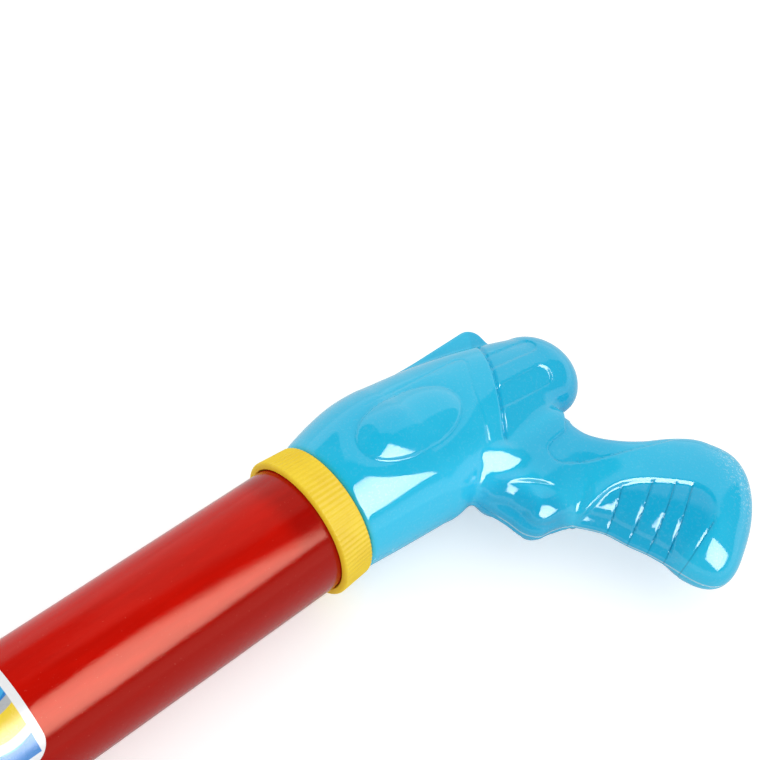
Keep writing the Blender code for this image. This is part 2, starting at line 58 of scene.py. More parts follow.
def newMesh(name, points, faces):
    mesh = bpy.data.meshes.new(name)
    mesh.vertices.add(len(points))
    mesh.vertices.foreach_set("co", (points * 0.001 + origin).ravel())
    mesh.loops.add(faces.size)
    mesh.loops.foreach_set("vertex_index", faces.ravel().astype(np.int32))
    mesh.polygons.add(len(faces))
    mesh.polygons.foreach_set("loop_start", np.arange(0, faces.size, faces.shape[1], dtype=np.int32))
    mesh.update(calc_edges=True)
    return mesh


mergeDistance = 2e-6


def weld(mesh):
    # merge seams and poles, then turn every face outwards
    work = bmesh.new()
    work.from_mesh(mesh)
    bmesh.ops.remove_doubles(work, verts=work.verts, dist=mergeDistance)
    bmesh.ops.recalc_face_normals(work, faces=work.faces)
    work.to_mesh(mesh)
    work.free()
    return mesh


def piece(name, mesh, material, body, node, sharp=35):
    mesh.shade_smooth()
    mesh.set_sharp_from_angle(angle=np.radians(sharp))
    made = bpy.data.objects.new(name, mesh)
    bpy.context.scene.collection.objects.link(made)
    made.data.materials.append(material)
    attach(made, body)
    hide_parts(node)
    return made


def softCorners(profile, radius, steps=4):
    # each corner of a closed outline becomes a short quadratic bend between points a radius along its two sides
    p = np.array(profile, float)
    before, after = np.roll(p, 1, 0) - p, np.roll(p, -1, 0) - p
    reach = []
    for side in (before, after):
        length = np.hypot(*side.T)
        reach.append(np.minimum(radius, 0.45 * length)[:, None] / np.maximum(length, 1e-9)[:, None])
    start, end = p + before * reach[0], p + after * reach[1]
    t = np.linspace(0, 1, steps + 1)[None, :, None]
    return ((1 - t) ** 2 * start[:, None] + 2 * t * (1 - t) * p[:, None] + t * t * end[:, None]).reshape(-1, 2)


def spun(profile, turns, swell=None):
    # a closed (x, radius) outline carried round the barrel axis; swell adds to the radius by outline point and angle
    angle = np.linspace(0, 2 * np.pi, turns, endpoint=False)[None, :]
    x, r = profile[:, :1] + 0 * angle, profile[:, 1:] + 0 * angle
    r = r if swell is None else r + swell(x, r, angle)
    return np.stack([x, r * np.sin(angle), r * np.cos(angle)], -1)


def spunMesh(name, profile, turns, swell=None):
    grid = spun(np.asarray(profile, float), turns, swell)
    return weld(newMesh(name, grid.reshape(-1, 3), gridFaces(*grid.shape[:2], True, True)))


# Shader sums

class Wire:
    # a socket of a node tree: sums, products and quotients of wires and numbers add Math nodes
    def __init__(self, tree, socket=None):
        self.tree, self.socket = tree, socket

    def node(self, kind, settings=None, sockets=None, out=0):
        made = self.tree.nodes.new("ShaderNode" + kind)
        for key, value in (settings or {}).items():
            if key == "stops":
                ramp = made.color_ramp.elements
                while len(ramp) < len(value):
                    ramp.new(0.5)
                for stop, (at, colour) in zip(ramp, value):
                    stop.position, stop.color = at, (*colour, 1)
            else:
                setattr(made, key, value)
        for key, value in (sockets or {}).items():
            if isinstance(value, Wire):
                self.tree.links.new(value.socket, made.inputs[key])
            else:
                made.inputs[key].default_value = value
        return Wire(self.tree, made.outputs[out])

    def math(self, operation, *values):
        return self.node("Math", {"operation": operation}, dict(enumerate(values)))

    def __add__(self, other): return self.math("ADD", self, other)
    def __radd__(self, other): return self.math("ADD", other, self)
    def __sub__(self, other): return self.math("SUBTRACT", self, other)
    def __rsub__(self, other): return self.math("SUBTRACT", other, self)
    def __mul__(self, other): return self.math("MULTIPLY", self, other)
    def __rmul__(self, other): return self.math("MULTIPLY", other, self)
    def __truediv__(self, other): return self.math("DIVIDE", self, other)
    def __rtruediv__(self, other): return self.math("DIVIDE", other, self)

    def ramp(self, low, high, start=0.0, end=1.0):
        # smooth step from start to end while the wire goes from low to high
        sockets = {0: self, 1: low, 2: high, 3: start, 4: end}
        return self.node("MapRange", {"interpolation_type": "SMOOTHSTEP"}, sockets)

    def noise(self, scale, detail=2.0, roughness=0.5):
        sockets = {"Vector": self, "Scale": scale, "Detail": detail, "Roughness": roughness}
        return self.node("TexNoise", None, sockets)

    def bump(self, strength, distance):
        return self.node("Bump", None, {"Strength": strength, "Distance": distance, "Height": self})

    def mix(self, first, second):
        # the wire is the share of the second colour
        return self.node("Mix", {"data_type": "RGBA"}, {0: self, 6: first, 7: second}, 2)

    def axes(self):
        split = self.node("SeparateXYZ", None, {0: self}).socket.node
        return [Wire(self.tree, output) for output in split.outputs]


def rgb(*colour):
    return (*colour, 1.0)


def finish(name, build, **constants):
    # a material whose build(coordinates) gives the sockets that vary over the surface
    material = bpy.data.materials.new(name)
    material.use_nodes = True
    tree = material.node_tree
    shader = tree.nodes["Principled BSDF"]
    for key, value in constants.items():
        shader.inputs[key.replace("_", " ")].default_value = value
    coordinates = Wire(tree).node("TexCoord", None, None, "Object")
    for key, value in build(coordinates).items():
        tree.links.new(value.socket, shader.inputs[key])
    return material


def local(coordinates):
    # millimetres along the axes of the part, from the barrel axis at the collar's lip
    moved = coordinates.node("VectorMath", {"operation": "SUBTRACT"}, {0: coordinates, 1: tuple(origin)})
    return moved.node("VectorMath", {"operation": "SCALE"}, {0: moved, "Scale": 1000.0})


# distance from the rear collar's lip to the handle's front face
handleFront = 13.8

handlePaint = dict(
    deep=rgb(0.012, 0.505, 0.785), pale=rgb(0.020, 0.535, 0.81), shade=rgb(0.006, 0.37, 0.64),
    low=rgb(0.030, 0.60, 0.91), scuffAndGlint=rgb(0.66, 0.88, 0.93), gapShade=rgb(0.004, 0.06, 0.06), groove=rgb(0.003, 0.20, 0.36),
    # where each colour fades in, and its greatest share
    cloud=(0.35, 0.65), rub=(178.0, 205.0), rubSlope=-0.45, dust=0.03, fleck=(0.54, 0.61),
    paleLitBelow=(-14.0, -24.0), paleLitBefore=(84.0, 74.0),
    seam=(0.5, 0.25, 0.0, 0.6), seamGlintBelow=(-36.0, -44.0),
    gap=(14.7, 13.9, 0.0, 0.95), gapRadius=(21.5, 23.0),
    line=(0.42, 0.12, 0.0, 0.42), lineEnd=2.0,
    rough=(0.3, 0.7, 0.05, 0.10), fleckRough=0.35, bump=(0.12, 0.0006),
)

# ends of the grooves in the finger rest, from the handle's front
fingerGrooves = [((95.5, -62.0), (80.0, -71.9)), ((107.0, -67.7), (82.5, -80.4)), ((113.4, -73.6), (86.5, -87.4)),
                 ((118.2, -78.4), (89.0, -94.0)), ((112.0, -94.6), (91.0, -100.4))]


def bluePlastic(coordinates):
    p = handlePaint
    place = local(coordinates)
    x, y, z = place.axes()
    cloud = place.noise(0.03, 3.0).ramp(*p["cloud"])
    # fine scuffs where the butt rubs, and dust over the rest
    rub = (x + y * p["rubSlope"]).ramp(*p["rub"])
    flecks = place.noise(0.9, 4.0, 0.65).ramp(*p["fleck"]) * (rub + p["dust"])
    # painted light: the body is a little paler underneath, as if lit from below
    low = y.ramp(*p["paleLitBelow"]) * x.ramp(*p["paleLitBefore"])
    plain = low.mix(cloud.mix(p["deep"], p["pale"]), p["low"])
    # painted shade: the hollow attribute darkens the finger rest, the dome, the trigger's sides and the neck towards
    # the shade colour
    hollow = place.node("Attribute", {"attribute_name": "hollow"}, None, "Fac")
    base = flecks.mix(hollow.mix(plain, p["shade"]), p["scuffAndGlint"])
    # painted highlight: a thin pale line along the seam of the grip
    seamGlint = place.math("ABSOLUTE", z).ramp(*p["seam"]) * y.ramp(*p["seamGlintBelow"])
    base = seamGlint.mix(base, p["scuffAndGlint"])
    # painted shade: dark in the gap at the collar and along the finger grooves
    gapShade = x.ramp(*p["gap"]) * place.math("SQRT", y * y + z * z).ramp(*p["gapRadius"])
    base = gapShade.mix(base, p["gapShade"])
    # painted shade: a dark line down each finger groove
    for start, end in fingerGrooves:
        length = float(np.hypot(end[0] - start[0], end[1] - start[1]))
        ux, uy = (end[0] - start[0]) / length, (end[1] - start[1]) / length
        fromX, fromY = x - (handleFront + start[0]), y - start[1]
        beside = place.math("ABSOLUTE", fromX * uy - fromY * ux)
        along = fromX * ux + fromY * uy
        line = beside.ramp(*p["line"]) * along.ramp(0.0, p["lineEnd"]) * along.ramp(length, length - p["lineEnd"])
        base = line.mix(base, p["groove"])
    rough = place.noise(0.12, 3.0).ramp(*p["rough"]) + flecks * p["fleckRough"]
    return {"Base Color": base, "Roughness": rough, "Normal": place.noise(0.05, 1.0).bump(*p["bump"])}


tubePaint = dict(
    bright=rgb(0.60, 0.006, 0.002), dark=rgb(0.39, 0.004, 0.002), fleck=rgb(0.70, 0.20, 0.16),
    streak=(0.3, 0.7), streakShare=0.35, skirt=(-16.0, -7.0), skirtShare=0.75, under=(-11.0, -18.0), underShare=0.9,
    fleckFrom=(0.69, 0.75), fleckShare=0.4, rough=(0.3, 0.7, 0.05, 0.085), bump=(0.14, 0.0002),
)


def redPlastic(coordinates):
    p = tubePaint
    place = local(coordinates)
    x, y, _ = place.axes()
    stretched = place.node("Mapping", None, {"Vector": place, "Scale": (0.15, 1.0, 1.0)})
    streak = stretched.noise(0.25, 4.0, 0.6).ramp(*p["streak"]) * p["streakShare"]
    # darker in a band next to the rear collar, and darker towards the under side
    skirt = x.ramp(*p["skirt"]) * p["skirtShare"]
    under = y.ramp(*p["under"]) * p["underShare"]
    base = place.math("MINIMUM", streak + skirt + under, 1.0).mix(p["bright"], p["dark"])
    flecks = place.noise(1.3, 3.0, 0.6).ramp(*p["fleckFrom"]) * p["fleckShare"]
    rough = place.noise(0.5, 4.0).ramp(*p["rough"])
    drawn = place.node("Mapping", None, {"Vector": place, "Scale": (0.3, 1.0, 1.0)})
    grain = drawn.noise(1.8, 4.0, 0.7).bump(*p["bump"])
    return {"Base Color": flecks.mix(base, p["fleck"]), "Roughness": rough, "Normal": grain}


collarPaint = dict(
    fresh=rgb(0.95, 0.69, 0.030), worn=rgb(0.90, 0.63, 0.025), tint=(0.35, 0.65), rough=(0.3, 0.7, 0.48, 0.60),
    bump=(0.08, 0.0002),
)


def yellowPlastic(coordinates):
    p = collarPaint
    place = local(coordinates)
    base = place.noise(0.08, 3.0).ramp(*p["tint"]).mix(p["fresh"], p["worn"])
    rough = place.noise(0.4, 3.0).ramp(*p["rough"])
    return {"Base Color": base, "Roughness": rough, "Normal": place.noise(2.2, 2.0).bump(*p["bump"])}


# two colours, and the ranges of noise and roughness of the inner materials
innerPaint = dict(
    white=dict(one=rgb(0.80, 0.80, 0.78), two=rgb(0.74, 0.74, 0.71), tint=(0.3, 0.7), rough=(0.3, 0.7, 0.34, 0.46)),
    rubber=dict(one=rgb(0.018, 0.018, 0.019), two=rgb(0.04, 0.04, 0.04), tint=(0.4, 0.7), rough=(0.0, 1.0, 0.6, 0.75)),
    steel=dict(one=rgb(0.62, 0.62, 0.64), two=rgb(0.50, 0.50, 0.52), tint=(0.3, 0.7), rough=(0.2, 0.8, 0.22, 0.40)),
)


def whitePlastic(coordinates):
    p, place = innerPaint["white"], local(coordinates)
    base = place.noise(0.06, 3.0).ramp(*p["tint"]).mix(p["one"], p["two"])
    return {"Base Color": base, "Roughness": place.noise(0.5, 3.0).ramp(*p["rough"])}


def blackRubber(coordinates):
    p = innerPaint["rubber"]
    dust = local(coordinates).noise(0.8, 4.0).ramp(*p["tint"])
    return {"Base Color": dust.mix(p["one"], p["two"]), "Roughness": dust.ramp(*p["rough"])}


def brightSteel(coordinates):
    p = innerPaint["steel"]
    turned = local(coordinates).noise(3.0, 4.0, 0.7)
    return {"Base Color": turned.ramp(*p["tint"]).mix(p["one"], p["two"]), "Roughness": turned.ramp(*p["rough"])}


finishes = dict(
    blue=finish("handleBlue", bluePlastic, IOR=1.5),
    red=finish("barrelRed", redPlastic, IOR=1.5, Specular_IOR_Level=0.28, Specular_Tint=rgb(1.0, 0.55, 0.40)),
    yellow=finish("collarYellow", yellowPlastic, IOR=1.5, Specular_IOR_Level=0.25),
    white=finish("innerWhite", whitePlastic, IOR=1.5),
    rubber=finish("sealRubber", blackRubber),
    steel=finish("screwSteel", brightSteel, Metallic=1.0),
)
print("finishes made:", len(finishes))


# Handle: the zero of a field, negative inside, in millimetres from the middle of the handle's front face

handleShape = dict(
    cell=0.62, low=(-1.5, -114.0, -1.4), high=(152.0, 34.0, 30.5), seam=0.1, seamBevel=0.30, seamLean=0.4,
    rodRadius=9.3, rodDepth=50.3, rodRound=0.5, frontRound=2.6, crease=2.0, finBlend=2.0, reliefFrom=(0.5, 5.0),
    body=[  # distance, centre height, half height, half width
        (-6, 0.0, 26.0, 24.3), (0, 0.2, 26.4, 25.1), (6, 0.8, 27.6, 25.9), (16, 1.4, 29.3, 26.9), (26, 1.6, 30.5, 27.1),
        (36, 1.1, 31.0, 26.15), (44, 0.3, 30.9, 24.3), (64, 0.8, 27.5, 21.2), (83, 0.8, 23.3, 19.4),
        (98, -1.0, 20.5, 17.8), (108, -3.0, 19.0, 16.6), (120, -5.4, 17.8, 15.6)],
    tailStart=108.0, tailLength=16.3, tailDrop=0.13, bodySlope=0.9,
    gripFront=[
        (53, 0), (50.5, -22), (50.5, -34), (53.3, -44.7), (54.9, -51.6), (58.9, -56.2), (65, -57.3), (70.5, -59.0),
        (75.1, -63.4), (81.0, -70.8), (84.6, -79.4), (88.6, -87.5), (92.0, -97), (95, -108), (99, -125)],
    gripBack=[
        (92, 10), (103.4, -25), (103.6, -31), (105.2, -36.5), (110.4, -42.6), (120.5, -50.6), (131.5, -57.7),
        (141.4, -65.2), (147.2, -75), (148.5, -86), (146, -100), (140, -120)],
    gripHalf=[
        (0, 13), (15, 13.5), (22, 13.2), (30, 12.8), (37, 12.8), (45, 12.8), (57, 12.7), (65, 12.9), (80, 13.8),
        (95, 14.6), (112, 14.4)],
    gripTop=-6.0, gripTopBlend=4.0, gripSlope=0.85, leastSpan=4.0,
    belly=[(0, 2.0), (52, 2.0), (75, 2.2), (100, 2.0)],
    buttFrom=(118, -80), buttAim=(0.42, -0.907), buttStart=6.0, buttLength=21.5,
    squareness=[(0, 3.4), (56, 3.2), (70, 2.3), (112, 2.2)], outlineSquareness=2.8,
    # a thin rim, and the lump set back from it over a height that fades in and out
    trigger=dict(inset=2.6, top=34.0, bottom=57.6, fadeIn=8, fadeOut=(5, -3), deep=12, above=6, below=2,
                 half=4.0, edge=2.2, blend=2.0),
    waist=dict(at=(76.7, -52.35, 11.1), axis=(1, 0, 0), lean=(-0.004, -0.364, 0.90), radii=(200, 17.2), turn=19.2,
               reach=(11.4, 5.67), rim=(4.2, -7.3), fade=(94.9, 88.75)),
    fin=dict(top=29.4, rear=102.5, corner=6.0, half=3.4, edge=1.4, front=40.0, foot=4.0),
    # places on the sides that are flatter than the plain sections:
    # middle, outward lean, radii and reach along and across, and reach in depth
    cheekDepth=9,
    gripCheeks=[
        dict(at=(64.8, -52.4, 10.6), axis=(1, 0, 0), lean=(-0.107, -0.394, 0.913), radii=(34, 17), reach=(7, 5)),
        dict(at=(62.5, -26.6, 13.5), axis=(0.81, -0.58, 0), lean=(-0.243, -0.466, 0.850), radii=(32, 20), reach=(9, 6)),
    ],
)

handleMarks = dict(
    domeEdge=dict(at=82.2, lean=0.587, step=0.15, stepFade=(-0.2, 0.7), groove=0.9, grooveAt=0.3, width=0.7,
                  bottom=(-23.5, -19.5), top=(24, 19)),
    slots=[dict(start=(80, 7.3), end=(106.8, 4.4), half=3.6), dict(start=(70, -7.4), end=(101.5, -9.3), half=4.0)],
    slotDepth=0.55, slotWall=0.45, slotFrom=(0.0, 0.6),
    panel=dict(line=[(16, 18.0), (45, 17.2), (70, 16.0), (76.5, 15.4), (79.0, 13.6), (78.4, 11.0), (76.2, 8.4),
                     (71.8, 1.7), (68.8, -4.1), (65.2, -12.9), (62.4, -19.2)], depth=0.24, width=0.55, fade=(20, 50)),
    oval=dict(centre=(38.9, 2.3), reach=(24.7, 13.1), height=2.8, power=4.0, moat=0.85, bank=7.0, lip=0.15,
              edge=(0.3, -0.5)),
    thumb=dict(edge=[(93.7, -31.8), (85.5, -32.4), (81.6, -33.6), (80.2, -37.0), (81.7, -41.4), (89.5, -46),
                     (99.4, -50.1), (114, -55.2), (128.5, -59.5), (142, -62.5), (152, -50), (112, -22)],
               depth=0.8, width=0.4, groove=0.3, grooveWidth=0.45, fade=(136, 112)),
    pad=dict(edge=[(73, -61.5), (80.6, -61.0), (89.5, -60.4), (96.9, -62.6), (104.7, -67.4), (112.2, -73.8),
                   (118.0, -80.1), (119.3, -86.0), (116.5, -91.3), (110, -96.0), (102.7, -99.6), (94, -101.5),
                   (80, -104), (66, -78)],
             depth=1.3, width=1.0, aim=(0.72, 0.69), fade=(152, 108), least=0.25, bottom=(-101, -89)),
    groove=dict(depth=0.45, width=0.40, swell=0.18, swellWidth=3.2, bottom=(-102, -94)),
    scoop=dict(centre=(64.7, -42.6), along=(0.73, -0.68), reach=(10.5, 3.7), depth=1.1, wall=0.16),
    hollow=dict(centre=(87.4, -53.8), reach=(12.0, 9.05), depth=1.86),
)


def smoothLine(points, steps):
    # a curve through all the points, each span a cubic that leaves and enters along its neighbours' chord
    p = np.array(points, float)
    p = np.vstack([2 * p[0] - p[1], p, 2 * p[-1] - p[-2]])
    t = np.arange(steps)[:, None] / steps
    spans = [0.5 * (2 * b + (c - a) * t + (2 * a - 5 * b + 4 * c - d) * t**2 + (3 * b - a - 3 * c + d) * t**3)
             for a, b, c, d in zip(p, p[1:], p[2:], p[3:])]
    return np.vstack([*spans, p[-2:-1]])


def sideOf(line, x, y):
    # distance to a polyline, negative on its left
    best, side = np.full(np.broadcast(x, y).shape, 1e9), 1.0
    for (ax, ay), (bx, by) in zip(line[:-1], line[1:]):
        dx, dy = bx - ax, by - ay
        t = np.clip(((x - ax) * dx + (y - ay) * dy) / (dx * dx + dy * dy), 0, 1)
        gap = (x - ax - t * dx) ** 2 + (y - ay - t * dy) ** 2
        nearer = gap < best - 1e-9
        best = np.where(nearer, gap, best)
        side = np.where(nearer, np.where(dx * (y - ay) - dy * (x - ax) > 0, -1.0, 1.0), side)
    return np.sqrt(best) * side


def stepUp(value, low, high):
    t = np.clip((value - low) / (high - low), 0, 1)
    return t * t * (3 - 2 * t)


def smoothMin(a, b, k):
    # the lesser of two fields with their corner filled over a width k
    h = np.maximum(k - np.abs(a - b), 0) / k
    return np.minimum(a, b) - h * h * k / 4


bodyLine = smoothLine(handleShape["body"], 6)
frontLine = smoothLine(handleShape["gripFront"], 4)
backLine = smoothLine(handleShape["gripBack"], 4)
panelLine = smoothLine(handleMarks["panel"]["line"], 4)
thumbEdge = smoothLine(handleMarks["thumb"]["edge"] + handleMarks["thumb"]["edge"][:1], 3)
padEdge = smoothLine(handleMarks["pad"]["edge"] + handleMarks["pad"]["edge"][:1], 3)


def bodyField(x, y, z):
    # ellipses on a bending axis, squarer below towards the neck, closed at the rear by half an ellipsoid
    s = handleShape
    at = np.minimum(x, s["tailStart"])
    centre, tall, wide = (np.interp(at, bodyLine[:, 0], bodyLine[:, i]) for i in (1, 2, 3))
    past = np.maximum(x - s["tailStart"], 0)
    rise = (y - centre + s["tailDrop"] * past) / tall
    power = np.where(rise < 0, np.interp(at, *np.transpose(s["belly"])), 2.0)
    q = ((np.hypot(past / s["tailLength"], rise)) ** power + np.abs(z / wide) ** power) ** (1 / power)
    return (q - 1) * np.minimum(tall, wide) * s["bodySlope"]


def plate(flat, thick, edge):
    # a sheet with rounded edges, from the distances to its outline and to its faces
    u, v = flat + edge, thick + edge
    return np.hypot(np.maximum(u, 0), np.maximum(v, 0)) + np.minimum(np.maximum(u, v), 0) - edge


def gripField(x, y, z):
    # squared-off ovals between the front and back straps, closed at the butt
    s, trigger = handleShape, handleShape["trigger"]
    top, bottom = trigger["top"], trigger["bottom"]
    strap, fromBack = -sideOf(frontLine, x, y), sideOf(backLine, x, y)
    beside = stepUp(-y, top, top + trigger["fadeIn"]) * stepUp(-y, *(bottom + shift for shift in trigger["fadeOut"]))
    fromFront = strap - trigger["inset"] * beside
    span = np.maximum(fromFront + fromBack, s["leastSpan"])
    across = (fromBack - fromFront) / span
    aim = np.array(s["buttAim"]) / np.hypot(*s["buttAim"])
    toButt = (x - s["buttFrom"][0]) * aim[0] + (y - s["buttFrom"][1]) * aim[1]
    end = np.maximum((toButt - s["buttStart"]) / s["buttLength"], 0)
    half = np.interp(-y, *np.transpose(s["gripHalf"]))
    m = (np.abs(across) ** s["outlineSquareness"] + end ** s["outlineSquareness"]) ** (1 / s["outlineSquareness"])
    power = np.interp(-y, *np.transpose(s["squareness"]))
    q = (m ** power + np.abs(z / half) ** power) ** (1 / power)
    grip = (q - 1) * np.minimum(half, span / 2) * s["gripSlope"]
    # the trigger's lump stands back from a thin rounded rim
    flat = np.maximum(-strap, strap - trigger["deep"])
    flat = np.maximum(flat, np.maximum(y + top - trigger["above"], -bottom - trigger["below"] - y))
    rim = plate(flat, np.abs(z) - trigger["half"], trigger["edge"])
    return -smoothMin(-smoothMin(grip, rim, trigger["blend"]), s["gripTop"] - y, s["gripTopBlend"])


def finField(x, y, z):
    # a thin plate with one round corner and rounded edges
    fin = handleShape["fin"]
    u, v = np.maximum(x - fin["rear"] + fin["corner"], 0), np.maximum(y - fin["top"] + fin["corner"], 0)
    flat = np.maximum(np.hypot(u, v) - fin["corner"], np.maximum(fin["front"] - x, fin["foot"] - y))
    return plate(flat, np.abs(z) - fin["half"], fin["edge"])


def cheekDome(c, x, y, z):
    # a shallow dome with its own radii, and the place in its own directions
    lean = np.array(c["lean"]) / np.linalg.norm(c["lean"])
    across = np.cross(lean, c["axis"])
    across /= np.linalg.norm(across)
    along = np.cross(across, lean)
    dx, dy, dz = x - c["at"][0], y - c["at"][1], z - c["at"][2]
    up, u, v = (dx * e[0] + dy * e[1] + dz * e[2] for e in (lean, along, across))
    return up + u * u / (2 * c["radii"][0]) + v * v / (2 * c["radii"][1]), up, u, v


def nearCheek(c, u, v, up):
    # 1 in the middle of a cheek, falling to 0 past its reach
    return np.exp(-((u / c["reach"][0]) ** 2 + (v / c["reach"][1]) ** 2 + (up / handleShape["cheekDepth"]) ** 2) ** 2)


def withCheeks(f, x, y, z):
    # near each cheek the field leans over to the cheek's dome
    for c in handleShape["gripCheeks"]:
        dome, up, u, v = cheekDome(c, x, y, z)
        f = f + nearCheek(c, u, v, up) * (dome - f)
    return f


def withWaist(f, x, y, z):
    # below the trigger the side falls level with the barrel, and ends along the finger rest's edge
    w = handleShape["waist"]
    dome, up, _, _ = cheekDome(w, x, y, z)
    turn = np.radians(w["turn"])
    dx, dy = x - w["at"][0], y - w["at"][1]
    u, v = dx * np.cos(turn) + dy * np.sin(turn), dy * np.cos(turn) - dx * np.sin(turn)
    near = nearCheek(w, u, v, up) * stepUp(sideOf(padEdge, x, y), *w["rim"]) * stepUp(x, *w["fade"])
    return f + near * (dome - f)


def domeRelief(x, y):
    # the step and groove before the dome, its two slots, and the panel's line on the body
    m, edge = handleMarks, handleMarks["domeEdge"]
    behind = (x - edge["at"] - edge["lean"] * y) / np.hypot(1, edge["lean"])
    onDome = stepUp(y, *edge["bottom"]) * stepUp(y, *edge["top"])
    sink = edge["step"] * stepUp(behind, *edge["stepFade"]) * onDome
    sink = sink + edge["groove"] * np.exp(-((behind - edge["grooveAt"]) / edge["width"]) ** 2) * onDome
    for slot in m["slots"]:
        gap = np.abs(sideOf(np.array([slot["start"], slot["end"]], float), x, y)) - slot["half"]
        sink = sink + m["slotDepth"] * stepUp(-gap, -m["slotWall"], m["slotWall"]) * stepUp(behind, *m["slotFrom"])
    panel = m["panel"]
    return sink + panel["depth"] * np.exp(-(sideOf(panelLine, x, y) / panel["width"]) ** 2) * stepUp(x, *panel["fade"])


def ovalRelief(x, y):
    # a raised oval with a lip, in the middle of a wide moat
    oval = handleMarks["oval"]
    dx, dy = x - oval["centre"][0], y - oval["centre"][1]
    long, wide = oval["reach"]
    e = (dx / long) ** 2 + (dy / wide) ** 2
    outside = (e - np.sqrt(e)) / np.maximum(np.hypot(dx / long ** 2, dy / wide ** 2), 1e-3)
    q = np.abs(dx / long) ** oval["power"] + (dy / wide) ** 2
    moat = oval["moat"] * np.clip(1 - np.maximum(outside, 0) / oval["bank"], 0, None) ** 2
    return moat - (oval["lip"] + oval["height"] * np.clip(1 - q, 0, None)) * stepUp(outside, *oval["edge"])


def gripRelief(x, y):
    # the thumb rest, the finger rest with its grooves, the hollow between them and the scoop under the body
    m = handleMarks
    thumb, edge = m["thumb"], sideOf(thumbEdge, x, y)
    outline = stepUp(-edge, -thumb["width"], thumb["width"]) * thumb["depth"]
    outline = outline + thumb["groove"] * np.exp(-(edge / thumb["grooveWidth"]) ** 2)
    sink = outline * stepUp(x, *thumb["fade"])
    pad = m["pad"]
    inPad = stepUp(sideOf(padEdge, x, y), -pad["width"], pad["width"])
    fade = stepUp(x * pad["aim"][0] - y * pad["aim"][1], *pad["fade"])
    sink = sink + pad["depth"] * (pad["least"] + (1 - pad["least"]) * fade) * stepUp(y, *pad["bottom"]) * inPad
    groove = m["groove"]
    for ends in fingerGrooves:
        gap = sideOf(np.array(ends), x, y)
        line = groove["depth"] * np.exp(-(gap / groove["width"]) ** 2)
        line = line + groove["swell"] * np.exp(-(gap / groove["swellWidth"]) ** 2)
        sink = sink + line * inPad * stepUp(y, *groove["bottom"])
    hollow = m["hollow"]
    fromX, fromY = (x - hollow["centre"][0]) / hollow["reach"][0], (y - hollow["centre"][1]) / hollow["reach"][1]
    sink = sink + hollow["depth"] * np.exp(-fromX ** 2 - fromY ** 2)
    # the scoop's floor rises from its upper edge to its lower edge, and both run out to points
    scoop = m["scoop"]
    (cx, cy), (ax, ay), (long, half) = scoop["centre"], scoop["along"], scoop["reach"]
    u, v = (x - cx) * ax + (y - cy) * ay, (y - cy) * ax - (x - cx) * ay
    wide = np.sqrt(np.clip(1 - (u / long) ** 2, 1e-4, None))
    t = np.clip((v / (wide * half) + 1) / 2, 0, 1)
    return sink + scoop["depth"] * wide ** 3 * t * stepUp(1 - t, 0, scoop["wall"]) * (np.abs(u) < long)


def handleField(x, y, z):
    s = handleShape
    grip = withCheeks(withWaist(gripField(x, y, z), x, y, z), x, y, z)
    f = smoothMin(bodyField(x, y, z), grip, s["crease"])
    # how deep the moulded marks sink below the plain shape, by place on the parting plane
    relief = domeRelief(x, y) + ovalRelief(x, y) + gripRelief(x, y)
    f = f + relief * stepUp(np.abs(z), *s["reliefFrom"])
    f = smoothMin(f, finField(x, y, z), s["finBlend"])
    f = -smoothMin(-f, x, s["frontRound"])
    socket = np.maximum(np.hypot(y, z) - s["rodRadius"], x - s["rodDepth"])
    return -smoothMin(-f, socket, s["rodRound"])


def fieldSurface(field, low, high, cell):
    # a point in each grid cell that the zero of the field crosses, at the mean of its edge crossings,
    # and a quad across each grid edge whose ends differ in sign
    axes = [np.arange(a, b + cell, cell) for a, b in zip(low, high)]
    f = field(axes[0][:, None, None], axes[1][None, :, None], axes[2][None, None, :])
    inside = f < 0
    corners = np.array(np.meshgrid([0, 1], [0, 1], [0, 1], indexing="ij")).reshape(3, 8).T
    size = np.array(f.shape) - 1
    count = sum(inside[tuple(slice(o, o + n) for o, n in zip(c, size))].astype(np.int8) for c in corners)
    active = (count > 0) & (count < 8)
    cells = np.argwhere(active)
    number = np.full(active.shape, -1)
    number[active] = np.arange(len(cells))
    total, crossed = np.zeros((len(cells), 3)), np.zeros((len(cells), 1))
    for axis in range(3):
        step = np.eye(3, dtype=int)[axis]
        for c in corners[corners[:, axis] == 0]:
            a, b = f[tuple((cells + c).T)], f[tuple((cells + c + step).T)]
            cut = ((a < 0) != (b < 0))[:, None]
            share = (a / np.where(cut[:, 0], a - b, 1))[:, None]
            total += np.where(cut, c + share * step, 0)
            crossed += cut
    points = np.array(low) + cell * (cells + total / crossed)
    quads = []
    for axis in range(3):
        others = [(axis + 1) % 3, (axis + 2) % 3]
        one, two = np.eye(3, dtype=int)[others]
        first = np.take(inside, range(size[axis]), axis)
        differs = np.argwhere(first != np.take(inside, range(1, size[axis] + 1), axis))
        at = differs[((differs[:, others] > 0) & (differs[:, others] < size[others])).all(1)]
        ring = np.stack([number[tuple((at - shift).T)] for shift in (one + two, two, 0 * one, one)], -1)
        outward = first[tuple(at.T)][:, None]
        quads.append(np.where(outward, ring, ring[:, ::-1]))
    return points, np.vstack(quads)


def slopeOf(field, points, reach=0.04):
    columns = []
    for axis in range(3):
        shift = np.eye(3)[axis] * reach
        columns.append((field(*(points + shift).T) - field(*(points - shift).T)) / (2 * reach))
    return np.stack(columns, -1)


def settle(field, points, rounds, stride=0.4, leastSlope=0.05):
    # slide each point along the slope of the field until it lies on its zero
    for _ in range(rounds):
        slope = slopeOf(field, points)
        move = slope * (field(*points.T) / np.maximum((slope**2).sum(1), leastSlope))[:, None]
        points = points - np.clip(move, -stride, stride)
    return points


